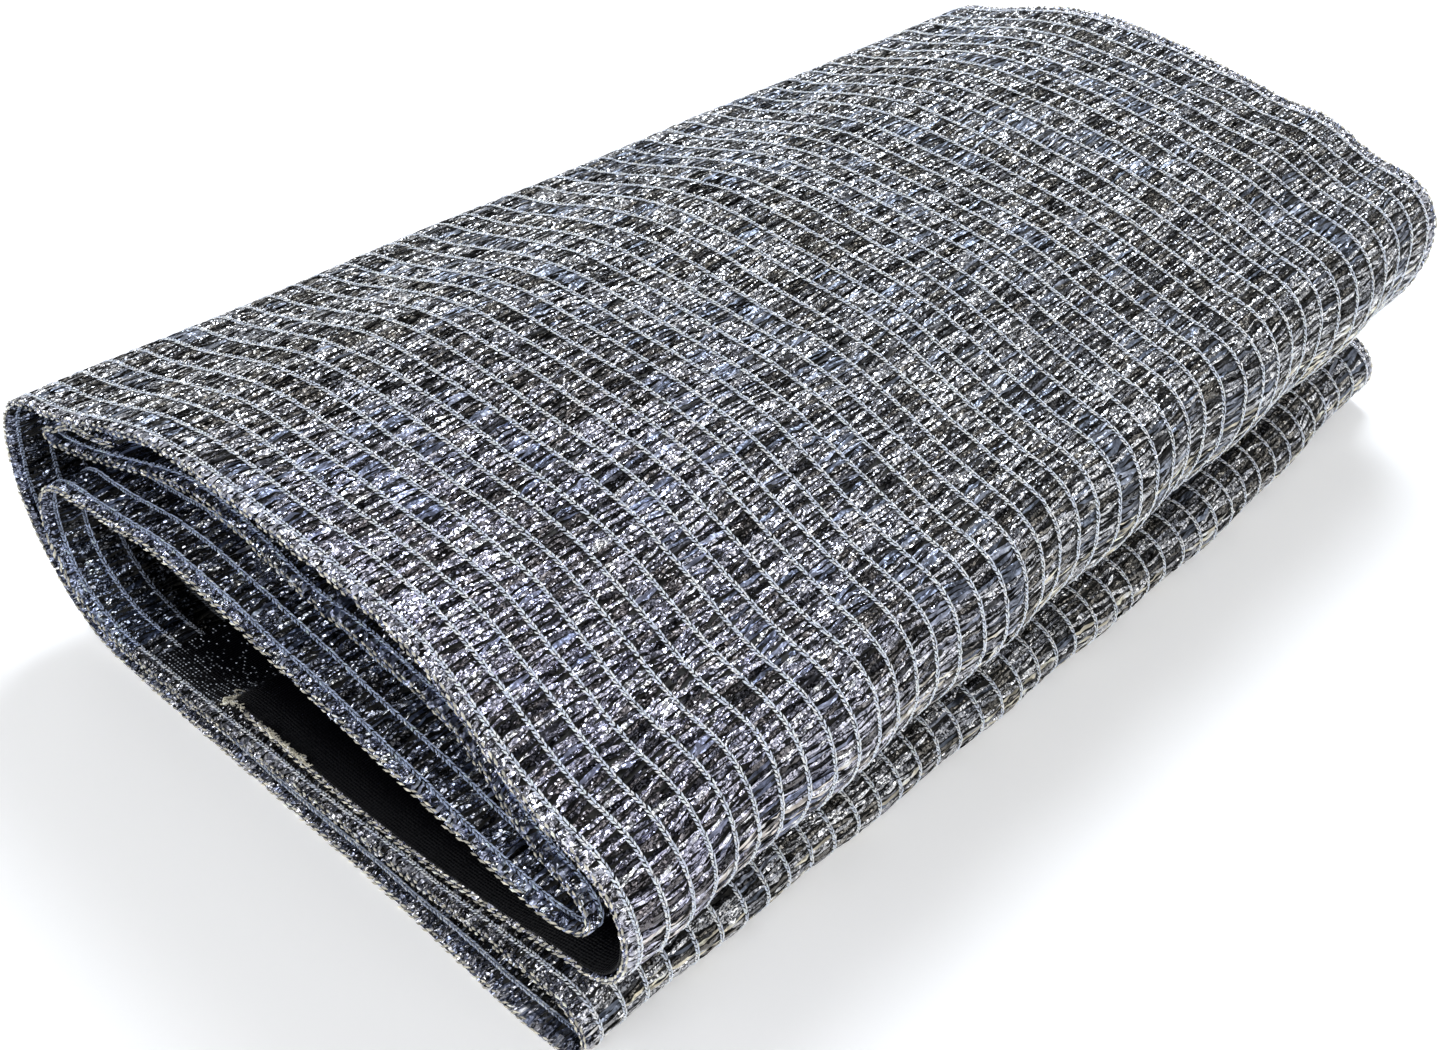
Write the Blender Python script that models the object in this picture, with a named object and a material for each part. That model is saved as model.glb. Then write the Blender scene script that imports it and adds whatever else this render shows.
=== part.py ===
"""A folded bundle of knitted, metallised shade cloth with a black knitted band inside.

The cloth is one sheet. Its cross-section, seen from the near end, is a single
back-and-forth line: a short flap, the top layer, the base, a lower layer, two
middle layers and a turned hem, joined by folds at the left and right.
The section is drawn once for each end and swept between them along Y.
Table sizes are in millimetres, and the model is in metres.
"""
from collections import namedtuple
from math import pi, radians, sin

import bpy
import bmesh
import numpy as np

MM = 0.001
LENGTH = 533.0        # along Y, 42 ribs of the knit at 12.7 mm
THICK = 2.0           # the cloth with its raised ribs
BAND_THICK = 1.5
BAND_GAP = 0.5        # clear space between the band and the flap under it
SECTIONS = 20         # steps of the sweep along Y

# One row for each layer at each end, in the order in which the sheet runs.
# x_from and x_to are its two ends, z_0 to z_4 its heights at five even stations
# between them, and back is how far its edge stands in from the end of the bundle.
Layer = namedtuple("Layer", "name x_from x_to z_0 z_1 z_2 z_3 z_4 back_from back back_to")

NEAR = [
    Layer("flap", 78, 278, 23, 22, 24, 31, 50, 9, 9, 4),
    Layer("top", 274, -20, 117, 140, 147, 145.5, 127.6, 0, 7, 0),
    Layer("base", 0, 262, 1.3, 1, 1, 1, 1.3, 2, 2, 2),
    Layer("lower", 262, 0, 29, 19, 15, 11, 8, 1.5, 3.5, 3),
    Layer("middle", -8, 266, 90, 98, 90, 81, 71, 0, 0, 0),
    Layer("upper", 264, -32, 83, 89, 98, 107, 98, 8, 24, 10),
    Layer("hem", -30, 8, 106, 111, 114, 116, 115, 10, 12, 16),
]
FAR = [
    Layer("flap", 100, 260, 23, 22, 24, 31, 45, 9, 9, 5),
    Layer("top", 267, 25, 123, 138, 146, 144, 126, 0, 3, 2),
    Layer("base", 34, 254, 1.3, 1, 1, 1, 1.3, 4, 4, 4),
    Layer("lower", 252, 32, 34, 22, 16, 12, 8, 6, 8, 6),
    Layer("middle", 26, 246, 84, 94, 88, 80, 73, 6, 10, 8),
    Layer("upper", 244, 10, 85, 91, 98, 104, 95, 12, 18, 14),
    Layer("hem", 12, 46, 104, 108, 111, 112, 111, 15, 16, 18),
]
# Steps across each layer, and its waves along Y: height, number and start.
Wave = namedtuple("Wave", "steps height count start")
WAVES = [
    Wave(8, 0.6, 2.0, 0.3),
    Wave(13, 1.6, 3.5, 1.1),
    Wave(7, 0.0, 1.0, 0.0),
    Wave(9, 0.7, 2.5, 2.0),
    Wave(10, 1.0, 2.0, 0.7),
    Wave(10, 0.9, 2.0, 1.0),
    Wave(3, 0.3, 1.5, 0.0),
]
WAVE_SLANT = 0.4      # how far, in waves, a wave shifts along Y across a layer
# One row for each fold between two layers: how far its curve is pulled out of
# the layer before and the layer after, at both ends, and its scallops along Y.
Fold = namedtuple("Fold", "name near_out near_in far_out far_in steps scallop count")
FOLDS = [
    Fold("upper right", 27, 42, 26, 42, 7, 0.07, 6.0),
    Fold("left", 54, 66, 46, 62, 8, 0.03, 3.0),
    Fold("lower right", 24, 24, 28, 28, 6, 0.04, 7.0),
    Fold("inner left", 54, 50, 44, 40, 6, 0.02, 3.0),
    Fold("nose", 24, 24, 22, 22, 5, 0.04, 4.0),
    Fold("hem turn", 10, 10, 10, 10, 3, 0.0, 1.0),
]
BASE_BOW = 1.5        # how far the base's sides draw in at the middle of its length
FLAT_TO = 0.75        # the base lies flat up to this point across it
# How far the lower right fold stands out past a straight run between its ends,
# at five even stations along Y.
LOW_FOLD_OUT = (0.3, 6.1, 10.7, 12.5, 4.2)
# A ridge along Y in the top layer, near its right side: place across, half
# width, height at the far end, and the point along Y where it begins.
RIDGE_AT = 0.16
RIDGE_HALF = 0.11
RIDGE_HEIGHT = 4.5
RIDGE_FROM = 0.6

# The black band: its run over the lower layer up to the flap's end, as places
# before the flap's end with heights above the lower layer or above the flap,
# then along the flap and part of the fold above it.
BandStep = namedtuple("BandStep", "before_flap above_lower above_flap")
BAND_RISE = [
    BandStep(64, 2.8, None),
    BandStep(48, 2.6, None),
    BandStep(32, 2.6, None),
    BandStep(18, 5.5, None),
    BandStep(7, None, 2.6),
    BandStep(-8, None, 3.4),
]
BAND_FOLD_STEPS = 4   # steps of the upper right fold that the band lines
BAND_FLAP_STEP = 2    # first step of the flap from which it follows the flap
BAND_BACK = 4.0       # its edge, in from the edge of the cloth under it

EDGE_ANGLE = radians(50)   # sharper turns than this show as edges
CLOTH_COLOUR = (0.42, 0.44, 0.50, 1.0)
BAND_COLOUR = (0.012, 0.012, 0.016, 1.0)


def between(near, far, v):
    """The value at v from the near end (0) to the far end (1)."""
    return near + (far - near) * v


def spline(values, u):
    """A smooth curve through evenly spaced values, read at u from 0 to 1."""
    last = len(values) - 1
    place = min(u * last, last - 1e-9)
    i = int(place)
    t = place - i
    p0 = values[max(i - 1, 0)]
    p1 = values[i]
    p2 = values[i + 1]
    p3 = values[min(i + 2, last)]
    return 0.5 * (2 * p1 + (p2 - p0) * t + (2 * p0 - 5 * p1 + 4 * p2 - p3) * t ** 2
                  + (3 * p1 - p0 - 3 * p2 + p3) * t ** 3)


def smooth(t):
    """0 to 1 with soft ends."""
    t = min(max(t, 0.0), 1.0)
    return t * t * (3 - 2 * t)


def heights(row):
    """A layer's five heights."""
    return [row.z_0, row.z_1, row.z_2, row.z_3, row.z_4]


def layer_point(index, u, v):
    """Place and height of a layer at u across it and v along the bundle."""
    near, far, wave = NEAR[index], FAR[index], WAVES[index]
    x = between(near.x_from + (near.x_to - near.x_from) * u,
                far.x_from + (far.x_to - far.x_from) * u, v)
    z = between(spline(heights(near), u), spline(heights(far), u), v)
    turn = 2 * pi * (wave.count * v + WAVE_SLANT * u) + wave.start
    z += wave.height * sin(pi * u) * sin(turn)
    z = max(z, THICK / 2)
    if near.name == "base":
        x += BASE_BOW * (1 - 2 * u) * sin(pi * v)
        x += spline(LOW_FOLD_OUT, v) * smooth((u - FLAT_TO) / (1 - FLAT_TO))
    if near.name == "lower":
        x += spline(LOW_FOLD_OUT, v) * (1 - u) ** 3
    if near.name == "top":
        across = 1 - abs(u - RIDGE_AT) / RIDGE_HALF
        z += RIDGE_HEIGHT * smooth(across) * smooth((v - RIDGE_FROM) / (1 - RIDGE_FROM))
    return np.array([x, z])


def along(near_back, far_back, v):
    """Y at v of a point whose two ends stand in from the bundle's ends."""
    return near_back + (LENGTH - near_back - far_back) * v


def layer_back(row, u):
    """How far a layer's edge stands in from the bundle's end."""
    return spline([row.back_from, row.back, row.back, row.back, row.back_to], u)


def heading(index, u, v):
    """Direction in which the sheet runs at u on a layer."""
    step = 0.01
    a = layer_point(index, max(u - step, 0.0), v)
    b = layer_point(index, min(u + step, 1.0), v)
    return (b - a) / np.linalg.norm(b - a)


def fold_point(index, t, v):
    """A point of the fold after a layer, on a curve pulled out of both layers."""
    fold = FOLDS[index]
    swell = 1 + fold.scallop * sin(2 * pi * fold.count * v + index)
    start = layer_point(index, 1.0, v)
    end = layer_point(index + 1, 0.0, v)
    pull_a = start + heading(index, 1.0, v) * between(fold.near_out, fold.far_out, v) * swell
    pull_b = end - heading(index + 1, 0.0, v) * between(fold.near_in, fold.far_in, v) * swell
    return ((1 - t) ** 3 * start + 3 * (1 - t) ** 2 * t * pull_a
            + 3 * (1 - t) * t ** 2 * pull_b + t ** 3 * end)


def sheet_line(v):
    """The sheet's middle line at v: rows of x, z and y."""
    rows = []
    for index, wave in enumerate(WAVES):
        for step in range(wave.steps + 1):
            u = step / wave.steps
            x, z = layer_point(index, u, v)
            rows.append((x, z, along(layer_back(NEAR[index], u), layer_back(FAR[index], u), v)))
        if index < len(FOLDS):
            steps = FOLDS[index].steps
            for step in range(1, steps):
                t = step / steps
                x, z = fold_point(index, t, v)
                near_back = between(NEAR[index].back_to, NEAR[index + 1].back_from, t)
                far_back = between(FAR[index].back_to, FAR[index + 1].back_from, t)
                rows.append((x, z, along(near_back, far_back, v)))
    return np.array(rows)


def normals(line):
    """Unit normals of a line of x, z points, to the left of its run."""
    run = np.gradient(line[:, :2], axis=0)
    run /= np.linalg.norm(run, axis=1)[:, None]
    return np.stack([-run[:, 1], run[:, 0]], axis=1)


def swept_sheet(lines, thickness):
    """Closed mesh of a sheet from its middle lines at steps along Y."""
    mesh = bmesh.new()
    faces = []
    for line in lines:
        side = normals(line) * thickness / 2
        row = []
        for sign in (1, -1):
            points = line[:, :2] + side * sign
            row.append([mesh.verts.new((p[0], y, p[1])) for p, y in zip(points, line[:, 2])])
        faces.append(row)
    count = len(lines[0])
    for (left_a, right_a), (left_b, right_b) in zip(faces, faces[1:]):
        for i in range(count - 1):
            mesh.faces.new((left_a[i], left_a[i + 1], left_b[i + 1], left_b[i]))
            mesh.faces.new((right_a[i], right_b[i], right_b[i + 1], right_a[i + 1]))
        for i in (0, count - 1):
            mesh.faces.new((left_a[i], left_b[i], right_b[i], right_a[i]))
    for left, right in (faces[0], faces[-1]):
        for i in range(count - 1):
            mesh.faces.new((left[i], right[i], right[i + 1], left[i + 1]))
    bmesh.ops.recalc_face_normals(mesh, faces=mesh.faces)
    return mesh


def lower_height(x, v):
    """Height of the lower layer at a place across the bundle."""
    index = [row.name for row in NEAR].index("lower")
    left = layer_point(index, 1.0, v)[0]
    right = layer_point(index, 0.0, v)[0]
    return layer_point(index, (right - x) / (right - left), v)[1]


def band_line(v):
    """The band's middle line: over the lower layer, then along the flap's top side."""
    flap_end = layer_point(0, 0.0, v)
    lift = THICK / 2 + BAND_GAP + BAND_THICK / 2
    y = along(NEAR[0].back_from, FAR[0].back_from, v)
    rows = []
    for step in BAND_RISE:
        x = flap_end[0] - step.before_flap
        if step.above_flap is None:
            z = lower_height(x, v) + step.above_lower
        else:
            z = flap_end[1] + step.above_flap
        rows.append((x, z, y))
    sheet = sheet_line(v)
    sheet[:, :2] += normals(sheet) * lift
    last = WAVES[0].steps + BAND_FOLD_STEPS + 1
    return np.vstack([rows, sheet[BAND_FLAP_STEP:last]])


def material(name, colour, roughness, metallic):
    made = bpy.data.materials.new(name)
    made.use_nodes = True
    shader = made.node_tree.nodes["Principled BSDF"]
    shader.inputs["Base Color"].default_value = colour
    shader.inputs["Roughness"].default_value = roughness
    shader.inputs["Metallic"].default_value = metallic
    return made


def add_node(name, mesh, centre, surface):
    """Turn a mesh in millimetres into a named object about the bundle's centre."""
    for vert in mesh.verts:
        vert.co.x = (vert.co.x - centre[0]) * MM
        vert.co.y = (vert.co.y - centre[1]) * MM
        vert.co.z = vert.co.z * MM
    bmesh.ops.triangulate(mesh, faces=mesh.faces)
    data = bpy.data.meshes.new(name)
    mesh.to_mesh(data)
    mesh.free()
    data.materials.append(surface)
    data.shade_smooth()
    data.set_sharp_from_angle(angle=EDGE_ANGLE)
    node = bpy.data.objects.new(name, data)
    bpy.context.scene.collection.objects.link(node)
    return node


def middle_of(mesh):
    """Centre in X and Y of a mesh's box."""
    points = np.array([vert.co for vert in mesh.verts])
    return (points.min(axis=0) + points.max(axis=0))[:2] / 2


def main():
    for old in list(bpy.data.objects):
        bpy.data.objects.remove(old, do_unlink=True)
    places = [step / SECTIONS for step in range(SECTIONS + 1)]
    cloth = swept_sheet([sheet_line(v) for v in places], THICK)
    places[0] = BAND_BACK / LENGTH
    places[-1] = 1 - places[0]
    band = swept_sheet([band_line(v) for v in places], BAND_THICK)
    centre = middle_of(cloth)
    add_node("shade_cloth", cloth, centre,
             material("metallised_knit", CLOTH_COLOUR, 0.35, 0.6))
    add_node("black_band", band, centre,
             material("black_knit", BAND_COLOUR, 0.8, 0.0))


main()
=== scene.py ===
"""Looks of the folded shade cloth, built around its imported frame.

The cloth is a knitted net: crumpled shiny strips run along the bundle between pale
chain-stitched ribs, which run across it and round its folds. All of it is laid on
one curved surface, the middle of the folded sheet, which is worked out in
millimetres from the same tables as the solids and set down in metres.
"""
from collections import namedtuple
from math import pi

import bpy
import numpy as np
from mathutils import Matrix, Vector


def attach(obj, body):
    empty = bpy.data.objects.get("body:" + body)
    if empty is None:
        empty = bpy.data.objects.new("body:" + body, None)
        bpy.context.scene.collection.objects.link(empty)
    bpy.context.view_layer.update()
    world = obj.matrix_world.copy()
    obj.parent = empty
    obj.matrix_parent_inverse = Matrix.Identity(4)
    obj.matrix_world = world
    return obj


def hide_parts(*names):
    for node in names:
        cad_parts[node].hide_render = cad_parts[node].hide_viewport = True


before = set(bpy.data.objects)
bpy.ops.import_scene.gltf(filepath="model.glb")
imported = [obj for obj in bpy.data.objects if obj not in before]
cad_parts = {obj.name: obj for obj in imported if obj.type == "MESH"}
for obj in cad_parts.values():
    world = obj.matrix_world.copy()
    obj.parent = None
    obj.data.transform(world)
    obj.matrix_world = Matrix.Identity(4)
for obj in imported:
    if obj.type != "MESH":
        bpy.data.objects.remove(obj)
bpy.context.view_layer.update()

MM = 0.001
LENGTH = 533.0
THICK = 2.0
BAND_THICK = 1.5
BAND_GAP = 0.5
CENTRE = np.array([123.194, 266.5, 0.0])   # middle of the solids, in the tables' frame

# The same tables as the solids' own: layers, waves, folds and the band's rise.
Layer = namedtuple("Layer", "name x_from x_to z_0 z_1 z_2 z_3 z_4 back_from back back_to")
NEAR = [
    Layer("flap", 78, 278, 23, 22, 24, 31, 50, 9, 9, 4),
    Layer("top", 274, -20, 117, 140, 147, 145.5, 127.6, 0, 7, 0),
    Layer("base", 0, 262, 1.3, 1, 1, 1, 1.3, 2, 2, 2),
    Layer("lower", 262, 0, 29, 19, 15, 11, 8, 1.5, 3.5, 3),
    Layer("middle", -8, 266, 90, 98, 90, 81, 71, 0, 0, 0),
    Layer("upper", 264, -32, 83, 89, 98, 107, 98, 8, 24, 10),
    Layer("hem", -30, 8, 106, 111, 114, 116, 115, 10, 12, 16),
]
FAR = [
    Layer("flap", 100, 260, 23, 22, 24, 31, 45, 9, 9, 5),
    Layer("top", 267, 25, 123, 138, 146, 144, 126, 0, 3, 2),
    Layer("base", 34, 254, 1.3, 1, 1, 1, 1.3, 4, 4, 4),
    Layer("lower", 252, 32, 34, 22, 16, 12, 8, 6, 8, 6),
    Layer("middle", 26, 246, 84, 94, 88, 80, 73, 6, 10, 8),
    Layer("upper", 244, 10, 85, 91, 98, 104, 95, 12, 18, 14),
    Layer("hem", 12, 46, 104, 108, 111, 112, 111, 15, 16, 18),
]
Wave = namedtuple("Wave", "height count start")
WAVES = [
    Wave(0.6, 2.0, 0.3),
    Wave(1.6, 3.5, 1.1),
    Wave(0.0, 1.0, 0.0),
    Wave(0.7, 2.5, 2.0),
    Wave(1.0, 2.0, 0.7),
    Wave(0.9, 2.0, 1.0),
    Wave(0.3, 1.5, 0.0),
]
WAVE_SLANT = 0.4
Fold = namedtuple("Fold", "name near_out near_in far_out far_in scallop count")
FOLDS = [
    Fold("upper right", 27, 42, 26, 42, 0.07, 6.0),
    Fold("left", 54, 66, 46, 62, 0.03, 3.0),
    Fold("lower right", 24, 24, 28, 28, 0.04, 7.0),
    Fold("inner left", 54, 50, 44, 40, 0.02, 3.0),
    Fold("nose", 24, 24, 22, 22, 0.04, 4.0),
    Fold("hem turn", 10, 10, 10, 10, 0.0, 1.0),
]
BASE_BOW = 1.5
FLAT_TO = 0.75         # share of the base that stays flat
LOW_FOLD_OUT = (0.3, 6.1, 10.7, 12.5, 4.2)
RIDGE_AT = 0.16
RIDGE_HALF = 0.11
RIDGE_HEIGHT = 4.5
RIDGE_FROM = 0.6
BandStep = namedtuple("BandStep", "before_flap above_lower above_flap")
BAND_RISE = [
    BandStep(64, 2.8, None),
    BandStep(48, 2.6, None),
    BandStep(32, 2.6, None),
    BandStep(18, 5.5, None),
    BandStep(7, None, 2.6),
    BandStep(-8, None, 3.4),
]
BAND_FLAP_FROM = 0.25
BAND_FOLD_TO = 4 / 7
BAND_BACK = 0.8

# How finely the surface is worked out.
LAYER_POINTS = 60
FOLD_POINTS = 40
ACROSS_POINTS = 87
BAND_POINTS = 160
BAND_SOFTEN = 6
CURL_STEPS = 6
GAP_SHADE_HALF = 0.15     # half the thickness of the sheets, in mm
BAND_HALF = 0.35
LOWEST = 0.0002        # nothing in metres lies lower than this over the floor

# The near rim stands out a little where the base turns into the lower layer.
RIM_PUSH = 3.2
RIM_PUSH_AT = -10.0
RIM_PUSH_OVER = 60.0

# Painted shade: inner faces are darkened with depth in mm from the open ends.
FADE_FROM = 12.0
FADE_OVER = 24.0
FADE_TO = 0.05

# The knit.
RIBS = 42
RIB_SPREAD = 0.097     # ribs stand closer at the near end by this share
STRIP_PITCH = 1.75
STRIP_HALF = 0.86
STITCH_PITCH = 1.65
EDGE_PITCH = 3.4
HIDDEN_BAYS = 3        # bays at each end whose hidden face is dressed too
END_BAYS = 5           # bays at each end of an inner layer that are made in full
STATIONS = 5           # points along a strip, and along one on the hidden face
HIDDEN_STATIONS = 3
RNG = np.random.default_rng(11)

# How crumpled the strips are: spreads in mm, unless another unit is named.
ROW_SPREAD = 0.22
STRIP_WIDTHS = (0.75, 1.25)    # as shares of STRIP_HALF
RIM_FULLNESS = 1.05            # strips in the bays at the rims keep their width
LEAN_SPREAD = 0.45
SIDE_SPREAD = 0.22
ARCH = (0.35, 0.45)            # mean and spread of a strip's rise between its ribs
LIFT_SPREAD = 0.22
STRIP_TILT = 0.15              # radians
STATION_TILT = 0.38            # radians
CREASE_SPREAD = 0.28
FINE_SPREAD = 0.08
STAND_OFF = 0.5
RIM_CURL = 0.8
LIFT_LIMITS = (-1.3, 1.9)
STATION_SHADE = 0.35           # spreads of the logarithm of a colour
POINT_SHADE = 0.1
STRIP_SHADE = 0.18
BRIGHTEST = 0.95
BRIGHTEST_THREAD = 0.98

# The cream stitches along the rims, in two rows, in mm.
EDGE_LIFTS = (0.85, -0.55)
EDGE_INSETS = (0.5, -0.1)
EDGE_MISSING = 0.1             # share of stitches left out
EDGE_LEAN = 0.35
EDGE_LONG = 0.9                # as a share of EDGE_PITCH
EDGE_THICK = 0.55

# The ribs' stitches, in mm.
RIB_SPREAD_ALONG = 0.12
RIB_LIFT = (1.3, 0.14)         # mean and spread
RIB_INNER = (0.0, 0.2)         # how far a stitch's ends lie from the rib's middle
RIB_OUTER = (0.7, 1.15)
RIB_OVERLAP = (1.1, 1.45)      # a stitch's length in pitches
RIB_HALF_WIDE = 0.42
RIB_HALF_HIGH = 0.38
RIB_SHADE = (-0.02, 0.2)

# Photograph camera: place in the tables' frame in mm, pitch, yaw and lens.
CAMERA_AT = (572.83, -238.56, 560.67)
CAMERA_PITCH = 0.701405
CAMERA_YAW = 0.761904
CAMERA_LENS = 47.34


def between(near, far, v):
    return near + (far - near) * v


def spline(values, u):
    """A smooth curve through evenly spaced values, read at an array u from 0 to 1."""
    values = np.asarray(values, float)
    last = len(values) - 1
    place = np.clip(u * last, 0, last - 1e-9)
    i = place.astype(int)
    t = place - i
    p0 = values[np.maximum(i - 1, 0)]
    p1 = values[i]
    p2 = values[i + 1]
    p3 = values[np.minimum(i + 2, last)]
    return 0.5 * (2 * p1 + (p2 - p0) * t + (2 * p0 - 5 * p1 + 4 * p2 - p3) * t ** 2
                  + (3 * p1 - p0 - 3 * p2 + p3) * t ** 3)


def smooth(t):
    t = np.clip(t, 0.0, 1.0)
    return t * t * (3 - 2 * t)


def heights(row):
    return [row.z_0, row.z_1, row.z_2, row.z_3, row.z_4]


def layer_point(index, u, v):
    """Rows of x and z at an array u across a layer, at one v along the bundle."""
    u = np.atleast_1d(np.asarray(u, float))
    near, far, wave = NEAR[index], FAR[index], WAVES[index]
    x = between(near.x_from + (near.x_to - near.x_from) * u,
                far.x_from + (far.x_to - far.x_from) * u, v)
    z = between(spline(heights(near), u), spline(heights(far), u), v)
    turn = 2 * pi * (wave.count * v + WAVE_SLANT * u) + wave.start
    z = z + wave.height * np.sin(pi * u) * np.sin(turn)
    z = np.maximum(z, THICK / 2)
    if near.name == "base":
        x = x + BASE_BOW * (1 - 2 * u) * np.sin(pi * v)
        x = x + spline(LOW_FOLD_OUT, v) * smooth((u - FLAT_TO) / (1 - FLAT_TO))
    if near.name == "lower":
        x = x + spline(LOW_FOLD_OUT, v) * (1 - u) ** 3
    if near.name == "top":
        across = smooth(1 - np.abs(u - RIDGE_AT) / RIDGE_HALF)
        z = z + RIDGE_HEIGHT * across * smooth((v - RIDGE_FROM) / (1 - RIDGE_FROM))
    return np.stack([x, z], axis=1)


def along(near_back, far_back, v):
    return near_back + (LENGTH - near_back - far_back) * v


def layer_back(row, u):
    return spline([row.back_from, row.back, row.back, row.back, row.back_to], u)


def heading(index, u, v):
    step = 0.01
    a = layer_point(index, max(u - step, 0.0), v)[0]
    b = layer_point(index, min(u + step, 1.0), v)[0]
    return (b - a) / np.linalg.norm(b - a)


def fold_points(index, t, v):
    """Rows of x and z at an array t through the fold after a layer."""
    fold = FOLDS[index]
    swell = 1 + fold.scallop * np.sin(2 * pi * fold.count * v + index)
    start = layer_point(index, 1.0, v)[0]
    end = layer_point(index + 1, 0.0, v)[0]
    pull_a = start + heading(index, 1.0, v) * between(fold.near_out, fold.far_out, v) * swell
    pull_b = end - heading(index + 1, 0.0, v) * between(fold.near_in, fold.far_in, v) * swell
    t = t[:, None]
    return ((1 - t) ** 3 * start + 3 * (1 - t) ** 2 * t * pull_a
            + 3 * (1 - t) * t ** 2 * pull_b + t ** 3 * end)


def sheet_line(v):
    """The sheet's middle line at v as rows of x, y and z."""
    rows = []
    for index in range(len(NEAR)):
        u = np.linspace(0, 1, LAYER_POINTS)
        places = layer_point(index, u, v)
        y = along(layer_back(NEAR[index], u), layer_back(FAR[index], u), v)
        rows.append(np.column_stack([places[:, 0], y, places[:, 1]]))
        if index < len(FOLDS):
            t = np.linspace(0, 1, FOLD_POINTS)[1:-1]
            places = fold_points(index, t, v)
            near_back = between(NEAR[index].back_to, NEAR[index + 1].back_from, t)
            far_back = between(FAR[index].back_to, FAR[index + 1].back_from, t)
            y = along(near_back, far_back, v)
            rows.append(np.column_stack([places[:, 0], y, places[:, 1]]))
    return np.vstack(rows)


class Surface:
    """A curved surface through lines of points, read at s in mm and v from 0 to 1."""

    def __init__(self, lines):
        self.lines = np.asarray(lines)
        middle = self.lines[len(lines) // 2]
        steps = np.linalg.norm(np.diff(middle[:, [0, 2]], axis=0), axis=1)
        self.s = np.concatenate([[0.0], np.cumsum(steps)])
        self.length = self.s[-1]
        run = np.gradient(self.lines, axis=1)
        rise = np.gradient(self.lines, axis=0)
        out = np.cross(run, rise)
        self.run = run / np.linalg.norm(run, axis=2, keepdims=True)
        self.rise = rise / np.linalg.norm(rise, axis=2, keepdims=True)
        self.out = out / np.linalg.norm(out, axis=2, keepdims=True)

    def read(self, table, s, v):
        i = np.interp(s, self.s, np.arange(len(self.s)))
        j = np.clip(v, 0, 1) * (len(self.lines) - 1)
        i0 = np.minimum(i.astype(int), len(self.s) - 2)
        j0 = np.minimum(j.astype(int), len(self.lines) - 2)
        a = (i - i0)[..., None]
        b = (j - j0)[..., None]
        low = table[j0, i0] * (1 - a) + table[j0, i0 + 1] * a
        high = table[j0 + 1, i0] * (1 - a) + table[j0 + 1, i0 + 1] * a
        return low * (1 - b) + high * b

    def at(self, s, v, lift):
        """Points at s and v, stood off the surface by lift in mm."""
        beyond = (v - np.clip(v, 0, 1)) * LENGTH
        point = self.read(self.lines, s, v) + self.read(self.out, s, v) * lift[..., None]
        return point + self.read(self.rise, s, v) * beyond[..., None]


def lower_height(x, v):
    """Height of the lower layer at a place across the bundle."""
    index = [row.name for row in NEAR].index("lower")
    left, right = layer_point(index, [1.0, 0.0], v)[:, 0]
    return layer_point(index, (right - x) / (right - left), v)[0, 1]


def band_line(v):
    """The band's middle line: over the lower layer, then along the flap's top side."""
    flap_end = layer_point(0, 0.0, v)[0]
    y = along(NEAR[0].back_from, FAR[0].back_from, v)
    rows = []
    for step in BAND_RISE:
        x = flap_end[0] - step.before_flap
        if step.above_flap is None:
            z = lower_height(x, v) + step.above_lower
        else:
            z = flap_end[1] + step.above_flap
        rows.append((x, y, z))
    sheet = sheet_line(v)
    run = np.gradient(sheet, axis=0)
    out = np.column_stack([-run[:, 2], 0 * run[:, 0], run[:, 0]])
    out /= np.linalg.norm(out, axis=1, keepdims=True)
    sheet = sheet + out * (THICK / 2 + BAND_GAP + BAND_THICK / 2)
    first = int(BAND_FLAP_FROM * LAYER_POINTS)
    last = LAYER_POINTS + int(BAND_FOLD_TO * FOLD_POINTS)
    line = np.vstack([rows, sheet[first:last]])
    way = np.concatenate([[0], np.cumsum(np.linalg.norm(np.diff(line, axis=0), axis=1))])
    even = np.linspace(0, way[-1], BAND_POINTS)
    line = np.column_stack([np.interp(even, way, line[:, k]) for k in range(3)])
    for _ in range(BAND_SOFTEN):
        line[1:-1] = (line[:-2] + 2 * line[1:-1] + line[2:]) / 4
    return line


def region_bounds(surface):
    """Where each layer and fold begins and ends along the section."""
    bounds = {}
    first = 0
    for index, row in enumerate(NEAR):
        last = first + LAYER_POINTS - 1
        bounds[row.name] = (surface.s[first], surface.s[last])
        if index < len(FOLDS):
            after = last + FOLD_POINTS - 1
            bounds[FOLDS[index].name] = (surface.s[last], surface.s[after])
            first = after
    return bounds


cloth = Surface([sheet_line(v) for v in np.linspace(0, 1, ACROSS_POINTS)])
REGION = region_bounds(cloth)
band_edge = BAND_BACK / LENGTH
band_span = LENGTH * (1 - 2 * band_edge)
band = Surface([band_line(v) for v in np.linspace(band_edge, 1 - band_edge, ACROSS_POINTS)])

# Which face of each part of the sheet shows: 1 is the side to the left of its run.
# On the base, which lies on the floor, 0 keeps the strips from standing off it.
FACES = {
    "flap": 1, "upper right": -1, "top": -1, "left": -1, "base": 0, "lower right": -1,
    "lower": -1, "inner left": -1, "middle": 1, "nose": -1, "upper": -1,
    "hem turn": 1, "hem": 1,
}


def face_table():
    """Places and signs, from which the shown side is read with short blends."""
    places = []
    signs = []
    for name, (start, end) in REGION.items():
        blend = min(6.0, (end - start) / 4)
        if name == "inner left":
            middle = (start + end) / 2
            places += [start + blend, middle - blend, middle + blend, end - blend]
            signs += [-1, -1, 1, 1]
        else:
            places += [start + blend, end - blend]
            signs += [FACES[name]] * 2
    return np.array(places), np.array(signs, float)


FACE_AT, FACE_SIGN = face_table()


def face(s):
    """The shown side at s, from -1 to 1."""
    return np.interp(s, FACE_AT, FACE_SIGN)


def shown_side(s, flip=1):
    """The shown side at s as -1 or 1; flip -1 is for the hidden face."""
    return np.where(face(s) * flip < 0, -1.0, 1.0)


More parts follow.
